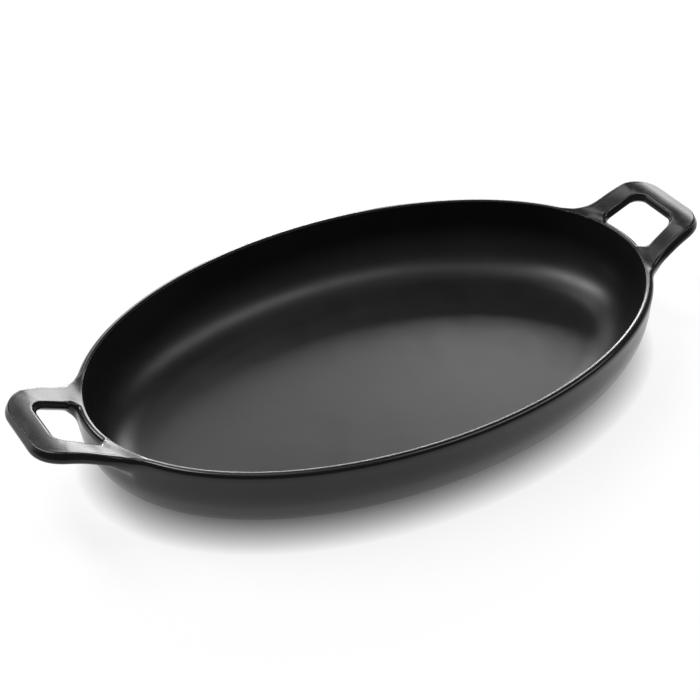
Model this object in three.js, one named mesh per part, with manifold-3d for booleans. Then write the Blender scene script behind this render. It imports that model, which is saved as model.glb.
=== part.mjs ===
// Oval pan: a shallow cast-iron bowl with two loop handles, enamelled black all over.
// Millimetres, Z up. The origin is the middle of the base, on the table. X runs along the pan.
import * as THREE from 'three';
import Module from 'manifold-3d';

const wasm = await Module();
wasm.setup();

// Bowl, measured over its enamel
const rimLength = 300;
const rimWidth = 189;
const rimHeight = 41.6;
const wallThickness = 4;
const floorThickness = 4.8;
const wallLean = THREE.MathUtils.degToRad(3.4);
const baseFillet = 30;
const floorFillet = 25.5;
const rimOuterRound = 1.9;
const rimInnerRound = 0.8;

// Loop handles, measured over their enamel. Breadths are at the underside, and sideDraft is how far each side
// leans in from there to the top.
const handleReach = 30.7;
const handleRise = 11.4;
const loopThickness = 6.2;
const gripBreadth = 12.7;
const armBreadth = 12.9;
const loopSpread = 51.6;
const armSplay = THREE.MathUtils.degToRad(7);
const outerCorner = 16;
const innerCorner = 5.8;
const flareSpread = 79;
const holeRootSpread = 27;
const topEdgeRound = 1;
const underEdgeRound = 2.5;
const sideDraft = 1.25;

// Enamel coats, and the seams left where the one casting and its coat are divided
const enamelThickness = 0.35;
const castingSeam = 0.1;
const enamelSeam = 0.3;

// Facets
const sidesAround = 72;
const filletSteps = 6;
const rimSteps = 2;
const flareSteps = 4;
const cornerSteps = 5;

const halfLength = rimLength / 2;
const halfWidth = rimWidth / 2;
const gripEdge = halfLength + handleReach;
const wallTurn = Math.PI / 2 - wallLean;
const rimRounding = rimOuterRound * (Math.tan(wallLean) + 1 / Math.cos(wallLean) - 1);

const castIron = () => new THREE.MeshStandardMaterial({ color: 0x2b2b2c, roughness: 0.7, metalness: 0.9 });
const satinEnamel = () => new THREE.MeshStandardMaterial({ color: 0x121213, roughness: 0.42, metalness: 0 });
const glossEnamel = () => new THREE.MeshStandardMaterial({ color: 0x0e0e0f, roughness: 0.2, metalness: 0 });
const mattEnamel = () => new THREE.MeshStandardMaterial({ color: 0x17171a, roughness: 0.65, metalness: 0 });

// How far the wall at a height stands in from the rim's outline, for a surface that lies depth under it.
// The rim's round edge brings the outline in by rimRounding from where the wall would end.
function wallInset(z, depth) {
  return (rimHeight - z) * Math.tan(wallLean) + depth / Math.cos(wallLean) - rimRounding;
}

// Arc of a bowl section in (inset, z). A turn of 0 points down, a quarter turn out and a half turn up.
function sectionArc(depth, z, radius, fromTurn, toTurn, steps) {
  const inset = wallInset(z, depth);
  return Array.from({ length: steps + 1 }, (_, step) => {
    const turn = THREE.MathUtils.lerp(fromTurn, toTurn, step / steps);
    return new THREE.Vector2(inset - radius * Math.sin(turn), z - radius * Math.cos(turn));
  });
}

// The three turns of the bowl's section, each for a surface that lies under the finish by skin
function baseTurn(skin) {
  return sectionArc(baseFillet, baseFillet, baseFillet - skin, 0, wallTurn, filletSteps);
}

function rimTurn(skin) {
  const outerZ = rimHeight - rimOuterRound;
  const innerZ = rimHeight - rimInnerRound;
  const innerDepth = wallThickness - rimInnerRound;
  return [
    ...sectionArc(rimOuterRound, outerZ, rimOuterRound - skin, wallTurn, Math.PI, rimSteps),
    ...sectionArc(innerDepth, innerZ, rimInnerRound - skin, Math.PI, Math.PI + wallTurn, rimSteps),
  ];
}

function floorTurn(skin) {
  const depth = wallThickness + floorFillet;
  return sectionArc(depth, floorThickness + floorFillet, floorFillet + skin, wallTurn, 0, filletSteps);
}

// One oval ring of points for a point of the bowl's section
function ovalRing({ x: inset, y: z }) {
  return Array.from({ length: sidesAround }, (_, side) => {
    const angle = (side / sidesAround) * Math.PI * 2;
    return new THREE.Vector3(
      (halfLength - inset) * Math.cos(angle),
      (halfWidth - inset) * Math.sin(angle),
      z,
    );
  });
}

// Triangles between each ring of points and the next; closed rings also join the last to the first.
// Each patch is split along its shorter diagonal, so that two bodies that share a surface split it alike.
function stitch(rings, closed) {
  const triangles = [];
  const size = rings[0].length;
  const bands = closed ? rings.length : rings.length - 1;
  for (let band = 0; band < bands; band++) {
    const above = (band + 1) % rings.length;
    for (let k = 0; k < size; k++) {
      const next = (k + 1) % size;
      const [a, b] = [band * size + k, band * size + next];
      const [c, d] = [above * size + next, above * size + k];
      const rising = rings[band][k].distanceTo(rings[above][next]);
      const falling = rings[band][next].distanceTo(rings[above][k]);
      triangles.push(...(rising < falling ? [[a, b, c], [a, c, d]] : [[a, b, d], [b, c, d]]));
    }
  }
  return triangles;
}

function bodyGeometry(points, triangles) {
  const geometry = new THREE.BufferGeometry();
  geometry.setAttribute('position', new THREE.Float32BufferAttribute(points.flatMap((p) => p.toArray()), 3));
  geometry.setIndex(triangles.flat());
  return geometry;
}

// Oval body whose section starts and ends on flat faces that reach the middle
function ovalSolid(section) {
  const rings = section.map(ovalRing);
  const points = rings.flat();
  const triangles = stitch(rings, false);
  const lastRing = points.length - sidesAround;
  const lowMiddle = points.length;
  const highMiddle = lowMiddle + 1;
  points.push(new THREE.Vector3(0, 0, section[0].y), new THREE.Vector3(0, 0, section.at(-1).y));
  for (let k = 0; k < sidesAround; k++) {
    const next = (k + 1) % sidesAround;
    triangles.push([lowMiddle, next, k], [highMiddle, lastRing + k, lastRing + next]);
  }
  return bodyGeometry(points, triangles);
}

// Oval band whose section closes on itself
function ovalBand(section) {
  const rings = section.map(ovalRing);
  return bodyGeometry(rings.flat(), stitch(rings, true));
}

// Point of the rim's outline at a distance from the pan's middle line, and the outline's direction there
function rimPoint(y) {
  return new THREE.Vector2(halfLength * Math.sqrt(1 - (y / halfWidth) ** 2), y);
}

function rimDirection(y) {
  const slope = -((halfLength / halfWidth) ** 2) * (y / rimPoint(y).x);
  return new THREE.Vector2(slope, 1).normalize();
}

function meetingPoint(start, direction, otherStart, otherDirection) {
  const along = otherStart.clone().sub(start).cross(otherDirection) / direction.cross(otherDirection);
  return start.clone().addScaledVector(direction, along);
}

// Arc that rounds the corner between two lines, running from the first line to the second
function cornerArc(before, corner, after, radius) {
  const back = before.clone().sub(corner).normalize();
  const ahead = after.clone().sub(corner).normalize();
  const halfAngle = Math.acos(back.dot(ahead)) / 2;
  const inward = back.clone().add(ahead).normalize();
  const centre = corner.clone().addScaledVector(inward, radius / Math.sin(halfAngle));
  const toTangent = radius / Math.tan(halfAngle);
  const start = corner.clone().addScaledVector(back, toTangent).sub(centre);
  const end = corner.clone().addScaledVector(ahead, toTangent).sub(centre);
  return new THREE.EllipseCurve(centre.x, centre.y, radius, radius, start.angle(), end.angle(), true);
}

// Half of one edge of a loop in plan, from the rim to the middle of the grip: a flare that leaves the rim
// along its own direction, a splayed arm, a round corner and the straight grip
function loopEdge(rootSpread, gripX, gripSpread, cornerRadius) {
  const rootY = rootSpread / 2;
  const root = rimPoint(rootY);
  const corner = new THREE.Vector2(gripX, gripSpread / 2);
  const armDirection = new THREE.Vector2(Math.cos(armSplay), -Math.sin(armSplay));
  const bend = meetingPoint(root, rimDirection(rootY), corner, armDirection);
  const flareEnd = bend.clone().addScaledVector(armDirection, root.distanceTo(bend));
  const gripMiddle = new THREE.Vector2(gripX, 0);
  return {
    bend,
    flare: new THREE.QuadraticBezierCurve(root, bend, flareEnd),
    corner: cornerArc(bend, corner, gripMiddle, cornerRadius),
    gripMiddle,
  };
}

// Both edges of a loop. A margin widens its roots along the rim.
// The arm lies armBreadth wide between the edges, so their grip ends differ by its skewed breadth.
function loopEdges(margin) {
  const skew = armBreadth / Math.cos(armSplay) - gripBreadth * Math.tan(armSplay);
  return {
    outer: loopEdge(flareSpread + 2 * margin, gripEdge, loopSpread, outerCorner),
    inner: loopEdge(holeRootSpread - 2 * margin, gripEdge - gripBreadth, loopSpread - 2 * skew, innerCorner),
  };
}

// Points along half an edge, moved sideways by shift: positive to the left of its run
function edgePoints(edge, shift) {
  const stations = [];
  for (const [curve, steps] of [[edge.flare, flareSteps], [edge.corner, cornerSteps]]) {
    for (let step = 0; step <= steps; step++) {
      const along = curve.getTangent(step / steps);
      const side = new THREE.Vector2(-along.y, along.x);
      stations.push(curve.getPoint(step / steps).addScaledVector(side, shift));
    }
  }
  stations.push(edge.gripMiddle.clone().add(new THREE.Vector2(shift, 0)));
  return stations;
}

function mirrored(point) {
  return new THREE.Vector2(point.x, -point.y);
}

// Both roots and the grip between them, station by station
function wholeEdge(edge, shift) {
  const half = edgePoints(edge, shift);
  return [...half, ...half.slice(0, -1).reverse().map(mirrored)];
}

// Top of a loop above the table: it leaves the rim's height steeply and levels out at the grip
function loopTop(x, riseStart) {
  const run = THREE.MathUtils.clamp((x - riseStart) / (gripEdge - riseStart), 0, 1);
  return rimHeight + handleRise * (1 - (1 - run) ** 2);
}

// How far a round edge has fallen away at a distance from the side that it turns into
function edgeFall(distance, radius) {
  const inside = Math.max(radius - distance, 0);
  return radius - Math.sqrt(radius ** 2 - inside ** 2);
}

// Where the bowl's wall, at a depth under its finish, stands at a height and a distance from the middle line
function wallX(y, z, depth) {
  const inset = wallInset(z, depth);
  return (halfLength - inset) * Math.sqrt(1 - (y / (halfWidth - inset)) ** 2);
}

// Distances across a loop where its section has points, closer together at the round edges
function acrossLoop(breadth, topRound, underRound) {
  const nearEdge = [0, topRound / 3, topRound, underRound];
  const middle = [1 / 3, 1 / 2, 2 / 3].map((share) => breadth * share);
  return [...nearEdge, ...middle, ...nearEdge.map((distance) => breadth - distance).reverse()];
}

// Rings of points around a loop handle at +X (side 1) or -X (side -1). Its surface lies under the finish by
// skin, and its roots end on the bowl's wall at rootDepth under the wall's finish. Along each flare the rings
// straighten from the wall's bow to the arm's plain section.
function loopRings(side, skin, rootDepth, margin = 0) {
  const edges = loopEdges(margin);
  const inner = wholeEdge(edges.inner, skin);
  const outer = wholeEdge(edges.outer, -skin);
  const topRound = topEdgeRound - skin;
  const underRound = underEdgeRound - skin;
  return inner.map((innerPoint, station) => {
    const breadth = innerPoint.distanceTo(outer[station]);
    const fromRoot = Math.min(station, inner.length - 1 - station);
    const bowShare = Math.max(1 - fromRoot / flareSteps, 0);
    const place = (distance, rise) => {
      const share = distance / breadth;
      const { x, y } = innerPoint.clone().lerp(outer[station], share);
      const root = inner[0].clone().lerp(outer[0], share);
      const riseStart = THREE.MathUtils.lerp(edges.inner.flare.v0.x, edges.outer.bend.x, share);
      const z = loopTop(x, riseStart) + rise;
      const bow = wallX(root.y, z, rootDepth) - root.x;
      return new THREE.Vector3(side * (x + bowShare * bow), side * y, z);
    };
    const topBreadth = breadth - 2 * sideDraft;
    const top = acrossLoop(topBreadth, topRound, underRound).map((distance) => {
      const toSide = Math.min(distance, topBreadth - distance);
      return place(sideDraft + distance, -skin - edgeFall(toSide, topRound));
    });
    const under = acrossLoop(breadth, topRound, underRound).map((distance) => {
      const toSide = Math.min(distance, breadth - distance);
      return place(distance, skin - loopThickness + edgeFall(toSide, underRound));
    });
    return [...under, ...top.reverse()];
  });
}

// Triangles that close a loop's first and last ring in strips, so that they follow the wall
function rootCaps(ringCount, ringSize) {
  const triangles = [];
  const lastRing = (ringCount - 1) * ringSize;
  for (let k = 0; k < ringSize / 2 - 1; k++) {
    const across = ringSize - 1 - k;
    triangles.push([k, across, k + 1], [k + 1, across, across - 1]);
    const [a, b, c, d] = [k, k + 1, across - 1, across].map((corner) => lastRing + corner);
    triangles.push([a, b, d], [b, c, d]);
  }
  return triangles;
}

function loopSolid(rings) {
  const caps = rootCaps(rings.length, rings[0].length);
  return bodyGeometry(rings.flat(), [...stitch(rings, false), ...caps]);
}

// Thin sleeve between two sets of rings, open at both roots
function loopSleeve(outerRings, innerRings) {
  const rings = [...outerRings, ...innerRings.toReversed()];
  return bodyGeometry(rings.flat(), stitch(rings, true));
}

function toSolid(geometry) {
  const vertProperties = geometry.getAttribute('position').array;
  const triVerts = new Uint32Array(geometry.getIndex().array);
  return new wasm.Manifold(new wasm.Mesh({ numProp: 3, vertProperties, triVerts }));
}

function toGeometry(solid) {
  const { numProp, vertProperties, triVerts } = solid.getMesh();
  const geometry = new THREE.BufferGeometry();
  const positions = new THREE.InterleavedBuffer(vertProperties, numProp);
  geometry.setAttribute('position', new THREE.InterleavedBufferAttribute(positions, 3, 0));
  geometry.setIndex([...triVerts]);
  return geometry;
}

// The iron of the bowl
function panBody() {
  const skin = enamelThickness;
  return ovalSolid([...baseTurn(skin), ...rimTurn(skin), ...floorTurn(skin)]);
}

// The iron of one handle, which runs into the bowl's wall
function handleCasting(side) {
  return loopSolid(loopRings(side, enamelThickness, enamelThickness - castingSeam));
}

function handleEnamel(side) {
  const finish = loopRings(side, 0, 0);
  return loopSleeve(finish, loopRings(side, enamelThickness, enamelThickness - castingSeam));
}

// Satin coat of the inside, up to the rim's inner edge
function interiorEnamel() {
  const ironSide = [...floorTurn(enamelThickness).reverse(), rimTurn(enamelThickness).at(-1)];
  return ovalSolid([...ironSide, rimTurn(0).at(-1), ...floorTurn(0)]);
}

// A handle with enamelSeam all round it, whose roots run straight through the coat of the wall
function handlePassage(side) {
  const outside = loopRings(side, -enamelSeam, -enamelSeam, enamelSeam);
  const inside = loopRings(side, -enamelSeam, enamelThickness + enamelSeam, enamelSeam);
  return loopSolid([inside[0], ...outside, inside.at(-1)]);
}

// Gloss coat of the wall and the rim, open where the handles' roots come through it
function exteriorEnamel() {
  const finish = [...baseTurn(0), ...rimTurn(0)];
  const ironSide = [...baseTurn(enamelThickness), ...rimTurn(enamelThickness)].reverse();
  let coat = toSolid(ovalBand([...finish, ...ironSide]));
  for (const side of [-1, 1]) {
    coat = coat.subtract(toSolid(handlePassage(side)));
  }
  return toGeometry(coat);
}

// Matt coat of the flat underside, which the pan stands on
function baseEnamel() {
  return ovalSolid([baseTurn(0)[0], baseTurn(enamelThickness)[0]]);
}

function part(name, geometry, material) {
  const mesh = new THREE.Mesh(geometry, material);
  mesh.name = name;
  return mesh;
}

const pan = new THREE.Group();
pan.add(
  part('pan_body', panBody(), castIron()),
  part('interior_enamel', interiorEnamel(), satinEnamel()),
  part('exterior_enamel', exteriorEnamel(), glossEnamel()),
  part('base_enamel', baseEnamel(), mattEnamel()),
);
for (const [place, side] of [['left', -1], ['right', 1]]) {
  pan.add(
    part(`${place}_handle`, handleCasting(side), castIron()),
    part(`${place}_handle_enamel`, handleEnamel(side), glossEnamel()),
  );
}

export default pan;
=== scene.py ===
import math

import bpy
import numpy as np
from mathutils import Matrix, Vector


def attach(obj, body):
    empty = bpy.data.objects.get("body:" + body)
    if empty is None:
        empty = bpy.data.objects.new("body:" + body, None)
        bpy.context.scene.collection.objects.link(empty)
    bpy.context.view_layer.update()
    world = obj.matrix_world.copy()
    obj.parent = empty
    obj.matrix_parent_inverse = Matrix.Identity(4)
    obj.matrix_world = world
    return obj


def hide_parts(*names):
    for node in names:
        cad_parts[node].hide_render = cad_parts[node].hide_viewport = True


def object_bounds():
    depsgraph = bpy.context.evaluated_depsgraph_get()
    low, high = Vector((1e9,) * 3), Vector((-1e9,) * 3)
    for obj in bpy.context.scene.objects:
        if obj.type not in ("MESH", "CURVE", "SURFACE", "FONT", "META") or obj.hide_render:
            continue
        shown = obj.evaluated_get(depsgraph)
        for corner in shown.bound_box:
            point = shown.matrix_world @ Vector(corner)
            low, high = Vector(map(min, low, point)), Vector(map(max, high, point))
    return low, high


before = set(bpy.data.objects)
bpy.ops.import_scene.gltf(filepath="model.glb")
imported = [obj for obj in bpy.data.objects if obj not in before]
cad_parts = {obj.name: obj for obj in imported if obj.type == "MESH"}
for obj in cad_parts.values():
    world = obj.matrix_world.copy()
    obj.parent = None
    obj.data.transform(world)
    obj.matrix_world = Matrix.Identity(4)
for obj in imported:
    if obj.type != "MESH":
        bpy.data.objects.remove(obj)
cad_low, cad_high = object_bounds()

# Sizes of the bowl in millimetres, as in the CAD apart from the roundings of the rim
HALF_LENGTH = 150.0
HALF_WIDTH = 94.5
RIM_HEIGHT = 41.6
WALL = 4.0
FLOOR = 4.8
LEAN = math.radians(3.4)
BASE_FILLET = 30.0
FLOOR_FILLET = 25.5
RIM_OUTER_ROUND = 2.6
RIM_INNER_ROUND = 0.7
LIP_DROP = 0.2

# Sizes of the loop handles in millimetres, as in the CAD apart from the arms' breadth and the gap's width at the rim
GRIP_EDGE = HALF_LENGTH + 30.7
RISE = 11.4
THICKNESS = 6.2
GRIP_BREADTH = 12.7
ARM_BREADTH = 13.5
LOOP_SPREAD = 51.6
SPLAY = math.radians(7.0)
OUTER_CORNER = 16.0
INNER_CORNER = 5.8
FLARE_SPREAD = 79.0
HOLE_ROOT_SPREAD = 23.5
TOP_ROUND = 1.0
UNDER_ROUND = 2.5
DRAFT = 1.25

WALL_TURN = math.pi / 2 - LEAN
RIM_ROUNDING = RIM_OUTER_ROUND * (math.tan(LEAN) + 1 / math.cos(LEAN) - 1)

# Rows of the wall's mesh in millimetres: how far below the rim on the outside, and how high on the inside
UNDER_ARM_DROP = 8.4
BESIDE_ARM_DROP = 5.0
INNER_WALL_HEIGHTS = 38.5, 34.8

# Columns of the mesh in a quarter of the oval: between the arms, inner flare, root, outer flare, free rim
GAP_COLUMNS = 3
INNER_FLARE_COLUMNS = 2
ROOT_COLUMNS = 8
OUTER_FLARE_COLUMNS = 3
FREE_COLUMNS = 14
ROOT_START = GAP_COLUMNS + INNER_FLARE_COLUMNS
ROOT_END = ROOT_START + ROOT_COLUMNS


def mix(a, b, share):
    return a + (b - a) * share


def wall_inset(z, depth):
    return (RIM_HEIGHT - z) * math.tan(LEAN) + depth / math.cos(LEAN) - RIM_ROUNDING


def section_arc(depth, z, radius, from_turn, to_turn, steps):
    inset = wall_inset(z, depth)
    turns = np.linspace(from_turn, to_turn, steps + 1)
    return [(inset - radius * math.sin(t), z - radius * math.cos(t)) for t in turns]


def wall_row(z):
    return (wall_inset(z, 0), z)


# Section of the bowl from the edge of the flat base, up the outside, over the rim and down to the flat floor
base_turn = section_arc(BASE_FILLET, BASE_FILLET, BASE_FILLET, 0, WALL_TURN, 8)
under_arm_row = wall_row(RIM_HEIGHT - UNDER_ARM_DROP)
beside_arm_row = wall_row(RIM_HEIGHT - BESIDE_ARM_DROP)
rim_edge = section_arc(RIM_OUTER_ROUND, RIM_HEIGHT - RIM_OUTER_ROUND, RIM_OUTER_ROUND, WALL_TURN, math.pi, 3)
rim_lip = section_arc(WALL - RIM_INNER_ROUND, RIM_HEIGHT - LIP_DROP - RIM_INNER_ROUND, RIM_INNER_ROUND,
                      math.pi, math.pi + WALL_TURN, 2)
inner_wall = [(wall_inset(z, WALL), z) for z in INNER_WALL_HEIGHTS]
floor_turn = section_arc(WALL + FLOOR_FILLET, FLOOR + FLOOR_FILLET, FLOOR_FILLET, WALL_TURN, 0, 9)
section = [*base_turn, under_arm_row, beside_arm_row, *rim_edge, *rim_lip, *inner_wall, *floor_turn]
UNDER_ARM = len(base_turn)
RIM_FLAT = UNDER_ARM + 5
COAT_EDGE = RIM_FLAT + 3
ARM_ROWS = list(range(RIM_FLAT, UNDER_ARM - 1, -1))

# Share of a flare's push that the rows under an arm take. The rows above take all of it.
FLARE_SHARE = {UNDER_ARM - 1: 0.08, UNDER_ARM: 0.34, UNDER_ARM + 1: 0.8}


def rim_point(y):
    return np.array([HALF_LENGTH * math.sqrt(1 - (y / HALF_WIDTH) ** 2), y])


def rim_direction(y):
    slope = -((HALF_LENGTH / HALF_WIDTH) ** 2) * (y / rim_point(y)[0])
    return np.array([slope, 1.0]) / math.hypot(slope, 1)


def cross(a, b):
    return a[0] * b[1] - a[1] * b[0]


# Places of the rings of points along a loop: on the second half of its flare, and round its corner
FLARE_TIMES = 0.67, 0.84, 1.0
FLARE_STATIONS = len(FLARE_TIMES)
TURN_STATIONS = 7


def loop_edge(root_y, grip_x, grip_y, radius):
    """Half of one edge of a loop in plan: its flare curve, and the points and directions from there to the grip."""
    root = rim_point(root_y)
    corner = np.array([grip_x, grip_y])
    arm = np.array([math.cos(SPLAY), -math.sin(SPLAY)])
    direction = rim_direction(root_y)
    bend = root + direction * cross(corner - root, arm) / cross(direction, arm)
    flare_end = bend + arm * np.linalg.norm(root - bend)

    def flare(t):
        point = (1 - t) ** 2 * root + 2 * t * (1 - t) * bend + t * t * flare_end
        along = (1 - t) * (bend - root) + t * (flare_end - bend)
        return point, along / np.linalg.norm(along)

    down = np.array([0.0, -1.0])
    half = math.acos(float(-arm @ down)) / 2
    inward = (down - arm) / np.linalg.norm(down - arm)
    centre = corner + inward * radius / math.sin(half)
    start = corner - arm * radius / math.tan(half) - centre
    end = corner + down * radius / math.tan(half) - centre
    from_angle, to_angle = math.atan2(start[1], start[0]), math.atan2(end[1], end[0])

    def turn(t):
        angle = mix(from_angle, to_angle, t)
        radial = np.array([math.cos(angle), math.sin(angle)])
        return centre + radius * radial, np.array([radial[1], -radial[0]])

    stations = [flare(t) for t in FLARE_TIMES]
    stations.append((mix(flare_end, centre + start, 0.5), arm))
    stations += [turn(t) for t in np.linspace(0, 1, TURN_STATIONS)]
    stations.append((mix(centre + end, np.array([grip_x, 0.0]), 0.5), down))
    stations.append((np.array([grip_x, 0.0]), down))
    return {"flare": flare, "stations": stations}


SKEW = ARM_BREADTH / math.cos(SPLAY) - GRIP_BREADTH * math.tan(SPLAY)
outer_edge = loop_edge(FLARE_SPREAD / 2, GRIP_EDGE, LOOP_SPREAD / 2, OUTER_CORNER)
inner_edge = loop_edge(HOLE_ROOT_SPREAD / 2, GRIP_EDGE - GRIP_BREADTH, LOOP_SPREAD / 2 - SKEW, INNER_CORNER)
# Finenesses of the search for the rim's points beside a flare, and how far along y it goes
FLARE_STEPS = 40
RIM_SAMPLES = 4000
RIM_REACH = 60.0


def flare_offsets(edge):
    """For points along the first half of a flare: the rim's y whose normal meets the point, and how far out it is."""
    ys, offsets = [], []
    rim_ys = np.linspace(1.0, RIM_REACH, RIM_SAMPLES)
    rim = np.stack([HALF_LENGTH * np.sqrt(1 - (rim_ys / HALF_WIDTH) ** 2), rim_ys], 1)
    for t in np.linspace(0, 0.5, FLARE_STEPS + 1):
        gap = np.linalg.norm(rim - edge["flare"](t)[0], axis=1)
        ys.append(rim_ys[gap.argmin()])
        offsets.append(gap.min())
    return np.array(ys), np.array(offsets)


def quarter_columns():
    """Angle of each mesh column in the first quarter, and how far the flares push the rim out there."""
    inner_y, inner_out = flare_offsets(inner_edge)
    outer_y, outer_out = flare_offsets(outer_edge)
    ys = list(np.linspace(0, inner_y[0], GAP_COLUMNS + 1)[:-1])
    outs = [0.0] * GAP_COLUMNS
    for t in np.linspace(0, 1, INNER_FLARE_COLUMNS + 1)[:-1]:
        ys.append(inner_y[round(t * FLARE_STEPS)])
        outs.append(inner_out[round(t * FLARE_STEPS)])
    for t in np.linspace(0, 1, ROOT_COLUMNS + 1):
        ys.append(mix(inner_y[-1], outer_y[-1], t))
        outs.append(mix(inner_out[-1], outer_out[-1], t))
    for t in np.linspace(1, 0, OUTER_FLARE_COLUMNS + 1)[1:]:
        ys.append(outer_y[round(t * FLARE_STEPS)])
        outs.append(outer_out[round(t * FLARE_STEPS)])
    angles = [math.asin(y / HALF_WIDTH) for y in ys]
    last = angles[-1]
    for u in np.linspace(0, 1, FREE_COLUMNS + 1)[1:]:
        angles.append(last + (math.pi / 2 - last) * (0.45 * u + 0.55 * u * u))
        outs.append(0.0)
    return angles, outs


def oval_columns():
    angles, outs = quarter_columns()
    around = list(zip(angles, outs))
    half = around[:-1] + [(math.pi - a, o) for a, o in reversed(around)][:-1]
    return half + [(a + math.pi, o) for a, o in half]


columns = oval_columns()
COLUMNS = len(columns)

# A handle's rise: where it starts on the edge along the finger gap and on the outer edge, where it ends, its steepness
RISE_START = 142.0, 138.5
RISE_END = GRIP_EDGE - 2.0
RISE_POWER = 3.4


def loop_top(x, share):
    """Height of a handle's top: it leaves the rim softly, and is almost level on the grip.
    Share is 0 on the edge along the finger gap, and 1 on the outer edge, which rises sooner."""
    rise_start = mix(*RISE_START, share)
    run = min(max((x - rise_start) / (RISE_END - rise_start), 0), 1)
    return RIM_HEIGHT + RISE * (1 - (1 - run * run) ** RISE_POWER)


def pushed_point(row, column):
    """A point of the bowl, pushed out where the flares widen the rim."""
    inset, z = section[row]
    angle, out = columns[column % COLUMNS]
    point = np.array([(HALF_LENGTH - inset) * math.cos(angle), (HALF_WIDTH - inset) * math.sin(angle), z])
    if out and UNDER_ARM - 1 <= row <= RIM_FLAT:
        normal = np.array([math.cos(angle) / HALF_LENGTH, math.sin(angle) / HALF_WIDTH, 0])
        point += normal / np.linalg.norm(normal) * out * FLARE_SHARE.get(row, 1.0)
    return point


def root_lift(column):
    """How far the handle's rise has already lifted the rim at this column."""
    place = column % (COLUMNS // 2)
    place = min(place, COLUMNS // 2 - place)
    nearest = min(max(place, ROOT_START), ROOT_END)
    lift = loop_top(pushed_point(RIM_FLAT, nearest)[0], (nearest - ROOT_START) / ROOT_COLUMNS) - RIM_HEIGHT
    return lift * columns[place][1] / columns[nearest][1]


def bowl_point(row, column):
    point = pushed_point(row, column)
    if UNDER_ARM < row <= RIM_FLAT:
        point[2] += root_lift(column) * (0.5 if row == UNDER_ARM + 1 else 1.0)
    return point


class Cage:
    """Points and faces of the coarse mesh, with a finish number for each face. The smooth surface runs through
    the points that it holds, and only near the soft ones."""

    def __init__(self):
        self.points = []
        self.hold = []
        self.faces = []
        self.finishes = []

    def point(self, place, hold=1.0):
        self.points.append(np.asarray(place, float))
        self.hold.append(hold)
        return len(self.points) - 1

    def face(self, corners, finish):
        self.faces.append(corners)
        self.finishes.append(finish)


EXTERIOR, RIGHT, LEFT, INTERIOR, BASE = range(5)


def is_root(column):
    place = column % (COLUMNS // 2)
    mirrored = COLUMNS // 2 - 1 - place
    return ROOT_START <= place < ROOT_END or ROOT_START <= mirrored < ROOT_END


def is_soft(row, column):
    """Whether a point lies in the blend under an arm, or in the corner between an arm and the wall."""
    place = column % (COLUMNS // 2)
    place = min(place, COLUMNS // 2 - place)
    if place <= ROOT_START:
        return GAP_COLUMNS < place and UNDER_ARM <= row < RIM_FLAT
    return columns[place][1] > 0 and UNDER_ARM <= row <= UNDER_ARM + 1


def add_bowl(cage):
    """Rows of the bowl, open where the arms leave the wall. Returns the point numbers by row and column."""
    grid = {}

    def corner(row, column):
        key = (row, column % COLUMNS)
        if key not in grid:
            grid[key] = cage.point(bowl_point(*key), 0.0 if is_soft(*key) else 1.0)
        return grid[key]

    for row in range(len(section) - 1):
        for column in range(COLUMNS):
            if UNDER_ARM <= row < RIM_FLAT and is_root(column):
                continue
            corners = [corner(row, column), corner(row, column + 1),
                       corner(row + 1, column + 1), corner(row + 1, column)]
            cage.face(corners, INTERIOR if row >= COAT_EDGE else EXTERIOR)
    add_flat(cage, [grid[0, c] for c in range(COLUMNS)], BASE)
    last = len(section) - 1
    add_flat(cage, [grid[last, c] for c in range(COLUMNS)][::-1], INTERIOR)
    return grid


FLAT_RINGS = 0.955, 0.8, 0.55, 0.27


def add_flat(cage, edge, finish):
    """Closes an oval edge with flat rings that shrink to the middle."""
    start = [cage.points[i].copy() for i in edge]
    previous = edge
    for scale in FLAT_RINGS:
        ring = [cage.point(p * [scale, scale, 1]) for p in start]
        for k in range(COLUMNS):
            nxt = (k + 1) % COLUMNS
            cage.face([ring[k], ring[nxt], previous[nxt], previous[k]], finish)
        previous = ring
    middle = cage.point([0, 0, start[0][2]])
    for k in range(COLUMNS):
        cage.face([middle, previous[(k + 1) % COLUMNS], previous[k]], finish)


# Sides of a handle's section, from the flat top to the flat underside: distance in from the edge, and height.
# The side towards the finger gap is rounded more below than the outer one.
TOP_EDGE = [(DRAFT + TOP_ROUND, 0), (DRAFT + 0.25 * TOP_ROUND, -0.3 * TOP_ROUND), (DRAFT * 0.85, -1.15 * TOP_ROUND)]
OUTER_SIDE = np.array([*TOP_EDGE, (0, -3.45), (0.3 * UNDER_ROUND, 0.3 * UNDER_ROUND - THICKNESS),
                       (UNDER_ROUND, -THICKNESS)])
INNER_SIDE = np.array([*TOP_EDGE, (0, -2.4), (0.95, -4.2), (3.2, -THICKNESS)])
WALL_SIDE = np.array([(section[row][0], section[row][1] - RIM_HEIGHT) for row in ARM_ROWS])


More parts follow.
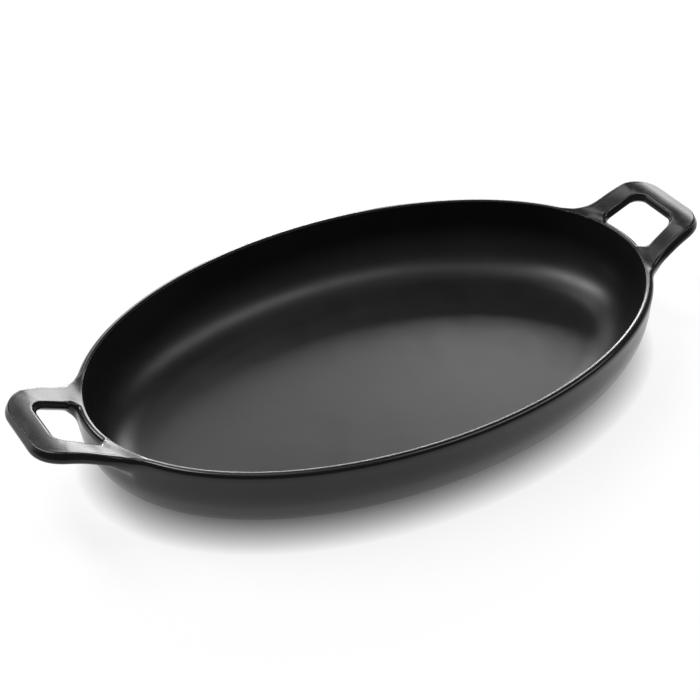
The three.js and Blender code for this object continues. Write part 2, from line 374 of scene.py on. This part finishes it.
def add_loop(cage, grid, side):
    """A loop handle at +X (side 1) or -X (side -1), between the two openings in the wall."""
    base = 0 if side == 1 else COLUMNS // 2
    first = [base + c for c in range(ROOT_START, ROOT_END + 1)]
    final = [base - c for c in range(ROOT_START, ROOT_END + 1)]

    def root_ring(cols):
        top = [grid[RIM_FLAT, c % COLUMNS] for c in cols]
        under = [grid[UNDER_ARM, c % COLUMNS] for c in cols]
        outside = [grid[row, cols[-1] % COLUMNS] for row in ARM_ROWS[1:-1]]
        inside = [grid[row, cols[0] % COLUMNS] for row in ARM_ROWS[1:-1]]
        return top + outside + under[::-1] + inside[::-1]

    first_ring = root_ring(first)
    final_ring = root_ring(final)
    count = ROOT_COLUMNS + 1
    shares = np.linspace(0, 1, count)

    def bow(row):
        wall = np.array([bowl_point(row, c) for c in range(ROOT_START, ROOT_END + 1)])
        return wall - (wall[0] + np.outer(shares, wall[-1] - wall[0]))

    top_bow, under_bow = bow(RIM_FLAT), bow(UNDER_ARM)

    def ring_points(station):
        (inner, inner_along), (outer, outer_along) = inner_edge["stations"][station], outer_edge["stations"][station]
        inner_in = np.array([-inner_along[1], inner_along[0]])
        outer_in = np.array([outer_along[1], -outer_along[0]])
        grown = min((station + 1) / FLARE_STATIONS, 1)
        outer_side, inner_side = mix(WALL_SIDE, OUTER_SIDE, grown), mix(WALL_SIDE, INNER_SIDE, grown)

        def lifted(xy, share, drop):
            return np.array([xy[0], xy[1], loop_top(xy[0], share) + drop])

        def across(level, bows):
            start, drop = inner + inner_in * inner_side[level][0], inner_side[level][1]
            end = outer + outer_in * outer_side[level][0]
            return [lifted(mix(start, end, s) + (1 - grown) * b[:2], s, drop) for s, b in zip(shares, bows)]

        top, under = across(0, top_bow), across(-1, under_bow)
        outside = [lifted(outer + outer_in * d, 1, drop) for d, drop in outer_side[1:-1]]
        inside = [lifted(inner + inner_in * d, 0, drop) for d, drop in inner_side[1:-1]]
        return top + outside + under[::-1] + inside[::-1]

    def ring_hold(station):
        soft = 0.0 if station < FLARE_STATIONS - 1 else 1.0
        return [1.0] * (count + len(ARM_ROWS) - 2) + [soft] * (count + len(ARM_ROWS) - 2)

    stations = len(inner_edge["stations"])
    turned = np.array([side, side, 1])
    rings = [first_ring]
    ways = [(station, turned) for station in range(stations)]
    ways += [(station, turned * [1, -1, 1]) for station in range(stations - 2, -1, -1)]
    for station, turn in ways:
        ring = zip(ring_points(station), ring_hold(station))
        rings.append([cage.point(p * turn, hold) for p, hold in ring])
    rings.append(final_ring)
    size = len(first_ring)
    for low, high in zip(rings, rings[1:]):
        for k in range(size):
            nxt = (k + 1) % size
            cage.face([low[k], high[k], high[nxt], low[nxt]], RIGHT if side == 1 else LEFT)


def new_object(name, mesh):
    piece = bpy.data.objects.new(name, mesh)
    bpy.context.scene.collection.objects.link(piece)
    return piece


def evaluated_points(piece, count):
    graph = bpy.context.evaluated_depsgraph_get()
    graph.update()
    mesh = piece.evaluated_get(graph).to_mesh()
    places = np.empty(len(mesh.vertices) * 3)
    mesh.vertices.foreach_get("co", places)
    return places.reshape(-1, 3)[:count]


MATCH_ROUNDS = 10


def smooth_skin(cage):
    """Subdivides the cage so that the smooth surface runs through the points that the cage holds."""
    target = np.array(cage.points) * 0.001
    mesh = bpy.data.meshes.new("pan_skin")
    mesh.from_pydata(target.tolist(), [], [list(map(int, f)) for f in cage.faces])
    mesh.polygons.foreach_set("material_index", np.array(cage.finishes, np.int32))
    piece = new_object("pan_skin", mesh)
    subdivision = piece.modifiers.new("smooth", "SUBSURF")
    subdivision.levels = 1
    control = target.copy()
    hold = np.array(cage.hold)[:, None]
    for _ in range(MATCH_ROUNDS):
        control += (target - evaluated_points(piece, len(target))) * hold
        mesh.vertices.foreach_set("co", control.ravel())
        mesh.update()
    subdivision.levels = 2
    graph = bpy.context.evaluated_depsgraph_get()
    graph.update()
    skin = bpy.data.meshes.new_from_object(piece.evaluated_get(graph))
    bpy.data.objects.remove(piece)
    places = np.empty(len(skin.vertices) * 3)
    skin.vertices.foreach_get("co", places)
    skin.vertices.foreach_set("co", np.clip(places.reshape(-1, 3), cad_low, cad_high).ravel())
    skin.update()
    return skin


def split_finish(skin, finish, name):
    """The faces of one finish as a piece of its own, with the whole skin's normals, so that no seam shows."""
    faces = [list(p.vertices) for p in skin.polygons if p.material_index == finish]
    used = sorted({v for f in faces for v in f})
    number = {v: k for k, v in enumerate(used)}
    mesh = bpy.data.meshes.new(name)
    mesh.from_pydata([skin.vertices[v].co for v in used], [], [[number[v] for v in f] for f in faces])
    mesh.polygons.foreach_set("use_smooth", [True] * len(faces))
    mesh.normals_split_custom_set_from_vertices([skin.vertices[v].normal for v in used])
    return new_object(name, mesh)


cage = Cage()
bowl_grid = add_bowl(cage)
for loop_side in (1, -1):
    add_loop(cage, bowl_grid, loop_side)
skin = smooth_skin(cage)


# Noise scales of the clouding, the uneven gloss, the casting's waves and the orange peel, and heights in metres
CLOUD_SCALE, GLOSS_SCALE, WAVE_SCALE, PEEL_SCALE = 38, 90, 70, 1400
WAVE_HEIGHT, PEEL_HEIGHT = 0.001, 0.0002
SPECULAR_LEVEL = 0.34


def enamel(name, dark, light, rough, rough_spread, wave, grain):
    """Black fired enamel: slight clouding, uneven gloss, the casting's waviness and a fine orange peel."""
    material = bpy.data.materials.new(name)
    material.use_nodes = True
    nodes, links = material.node_tree.nodes, material.node_tree.links
    shader = nodes["Principled BSDF"]
    shader.inputs["Specular IOR Level"].default_value = SPECULAR_LEVEL
    place = nodes.new("ShaderNodeTexCoord")

    def noise(scale, detail):
        texture = nodes.new("ShaderNodeTexNoise")
        texture.inputs["Scale"].default_value = scale
        texture.inputs["Detail"].default_value = detail
        links.new(place.outputs["Object"], texture.inputs["Vector"])
        return texture.outputs["Fac"]

    cloud = noise(CLOUD_SCALE, 4)
    tint = nodes.new("ShaderNodeValToRGB")
    tint.color_ramp.elements[0].position = 0.3
    tint.color_ramp.elements[0].color = (*dark, 1)
    tint.color_ramp.elements[1].position = 0.75
    tint.color_ramp.elements[1].color = (*light, 1)
    links.new(cloud, tint.inputs["Fac"])
    links.new(tint.outputs["Color"], shader.inputs["Base Color"])

    gloss = nodes.new("ShaderNodeMapRange")
    gloss.inputs["From Min"].default_value = 0.3
    gloss.inputs["From Max"].default_value = 0.7
    gloss.inputs["To Min"].default_value = rough - rough_spread
    gloss.inputs["To Max"].default_value = rough + rough_spread
    links.new(noise(GLOSS_SCALE, 3), gloss.inputs["Value"])
    links.new(gloss.outputs["Result"], shader.inputs["Roughness"])

    waves = nodes.new("ShaderNodeBump")
    waves.inputs["Strength"].default_value = wave
    waves.inputs["Distance"].default_value = WAVE_HEIGHT
    links.new(noise(WAVE_SCALE, 1), waves.inputs["Height"])
    peel = nodes.new("ShaderNodeBump")
    peel.inputs["Strength"].default_value = grain
    peel.inputs["Distance"].default_value = PEEL_HEIGHT
    links.new(noise(PEEL_SCALE, 2), peel.inputs["Height"])
    links.new(waves.outputs["Normal"], peel.inputs["Normal"])
    links.new(peel.outputs["Normal"], shader.inputs["Normal"])
    return material


gloss = enamel("gloss_enamel", (0.004, 0.004, 0.0042), (0.007, 0.007, 0.0074), 0.2, 0.03, 0.05, 0.05)
satin = enamel("satin_enamel", (0.006, 0.006, 0.0063), (0.01, 0.01, 0.0105), 0.35, 0.03, 0.04, 0.08)
matt = enamel("matt_enamel", (0.008, 0.008, 0.0085), (0.014, 0.014, 0.015), 0.62, 0.05, 0.08, 0.2)

for piece_name, finish, material, slot, stands_for in (
    ("exterior_coat", EXTERIOR, gloss, "gloss_enamel", ("exterior_enamel", "pan_body")),
    ("right_handle_coat", RIGHT, gloss, "gloss_enamel", ("right_handle_enamel", "right_handle")),
    ("left_handle_coat", LEFT, gloss, "gloss_enamel", ("left_handle_enamel", "left_handle")),
    ("interior_coat", INTERIOR, satin, "satin_enamel", ("interior_enamel",)),
    ("base_coat", BASE, matt, "matt_enamel", ("base_enamel",)),
):
    coat = split_finish(skin, finish, piece_name)
    coat.data.materials.append(material)
    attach(coat, "root")
    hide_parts(*stands_for)

# White floor, a hair below the base. Part of its white is a glow, which ambient occlusion darkens where the pan is
# near: a painted shadow round the pan.
FLOOR_REACH = 6.0
FLOOR_DROP = 0.0003
PAPER_GLOW = 0.85
# Reach of the painted shadow round the pan, in metres
PAINTED_SHADOW_REACH = 0.016
floor_mesh = bpy.data.meshes.new("floor")
floor_corners = [(x * FLOOR_REACH, y * FLOOR_REACH, 0) for x, y in ((-1, -1), (1, -1), (1, 1), (-1, 1))]
floor_mesh.from_pydata(floor_corners, [], [(0, 1, 2, 3)])
floor = new_object("floor", floor_mesh)
floor.location.z = -FLOOR_DROP
paper = bpy.data.materials.new("floor_paper")
paper.use_nodes = True
paper_nodes, paper_links = paper.node_tree.nodes, paper.node_tree.links
paper_shader = paper_nodes["Principled BSDF"]
paper_shader.inputs["Base Color"].default_value = (0.93, 0.93, 0.93, 1)
paper_shader.inputs["Roughness"].default_value = 1.0
paper_shader.inputs["Specular IOR Level"].default_value = 0.0
# Painted shadow: the glow's strength is the ambient occlusion, so the floor darkens close to the pan
painted_shadow = paper_nodes.new("ShaderNodeAmbientOcclusion")
painted_shadow.samples = 16
painted_shadow.inputs["Distance"].default_value = PAINTED_SHADOW_REACH
glow_with_painted_shadow = paper_nodes.new("ShaderNodeEmission")
paper_links.new(painted_shadow.outputs["AO"], glow_with_painted_shadow.inputs["Strength"])
rays = paper_nodes.new("ShaderNodeLightPath")
share = rays.outputs["Is Camera Ray"]
for kind in ("Is Glossy Ray", "Is Transmission Ray"):
    either = paper_nodes.new("ShaderNodeMath")
    either.operation = "MAXIMUM"
    paper_links.new(share, either.inputs[0])
    paper_links.new(rays.outputs[kind], either.inputs[1])
    share = either.outputs["Value"]
part = paper_nodes.new("ShaderNodeMath")
part.operation = "MULTIPLY"
part.inputs[1].default_value = PAPER_GLOW
paper_links.new(share, part.inputs[0])
glow = paper_nodes.new("ShaderNodeMixShader")
paper_links.new(part.outputs["Value"], glow.inputs["Fac"])
paper_links.new(paper_shader.outputs["BSDF"], glow.inputs[1])
paper_links.new(glow_with_painted_shadow.outputs["Emission"], glow.inputs[2])
paper_links.new(glow.outputs["Shader"], paper_nodes["Material Output"].inputs["Surface"])
floor_mesh.materials.append(paper)


def softbox(name, place, width, height, radiance, turn=0.0):
    """A soft lamp that faces the pan, turned by some degrees about its own axis. Radiance 1 looks white."""
    lamp = bpy.data.lights.new(name, "AREA")
    lamp.shape = "RECTANGLE"
    lamp.size, lamp.size_y = width, height
    lamp.energy = 4 * width * height * radiance
    holder = bpy.data.objects.new(name, lamp)
    bpy.context.scene.collection.objects.link(holder)
    holder.location = place
    facing = (-Vector(place)).to_track_quat("-Z", "Y").to_matrix()
    holder.rotation_euler = (facing @ Matrix.Rotation(math.radians(turn), 3, "Z")).to_euler()
    holder.visible_camera = False


# Softboxes, from the directions in which the photo's highlights reflect
softbox("back_right_box", (1.22, 1.33, 0.57), 0.75, 1.17, 6.8)
softbox("back_panel", (0.5, 1.73, 0.6), 0.76, 1.2, 3.0)
softbox("low_left_strip", (-0.94, 1.63, 0.23), 2.2, 0.4, 1.9)
softbox("back_high_box", (0.16, 1.2, 1.58), 0.62, 0.5, 2.7)
softbox("left_strip", (-0.46, 0.6, 1.25), 0.32, 1.1, 11.0, -32)
softbox("right_strip", (0.8, -0.42, 1.2), 0.32, 1.1, 4.2, 33)
softbox("rim_strip", (0.72, 1.72, 0.36), 0.4, 0.3, 14.0)
softbox("top_box", (0.0, -0.15, 1.25), 0.5, 0.3, 1.2)
softbox("zenith_box", (0.0, 0.3, 1.8), 0.4, 0.4, 2.0)

WORLD_STRENGTH = 0.15
world = bpy.data.worlds.new("studio")
bpy.context.scene.world = world
world.use_nodes = True
world.node_tree.nodes["Background"].inputs["Color"].default_value = (1, 1, 1, 1)
world.node_tree.nodes["Background"].inputs["Strength"].default_value = WORLD_STRENGTH

# Camera fitted to the photo's outlines
CAMERA_LENS = 88.9
CAMERA_PLACE = -0.34737, -0.56915, 0.52303
CAMERA_AIM = -0.00727, 0.01201, 0.02
CAMERA_ROLL = math.radians(-0.65)
camera = bpy.data.cameras.new("camera")
camera.lens = CAMERA_LENS
camera.sensor_width = 36
camera.clip_start, camera.clip_end = 0.01, 50
holder = bpy.data.objects.new("camera", camera)
bpy.context.scene.collection.objects.link(holder)
holder.location = CAMERA_PLACE
aim = Vector(CAMERA_AIM) - holder.location
holder.rotation_euler = (aim.to_track_quat("-Z", "Y").to_matrix() @ Matrix.Rotation(CAMERA_ROLL, 3, "Z")).to_euler()
bpy.context.scene.camera = holder
bpy.context.scene.view_settings.view_transform = "Standard"
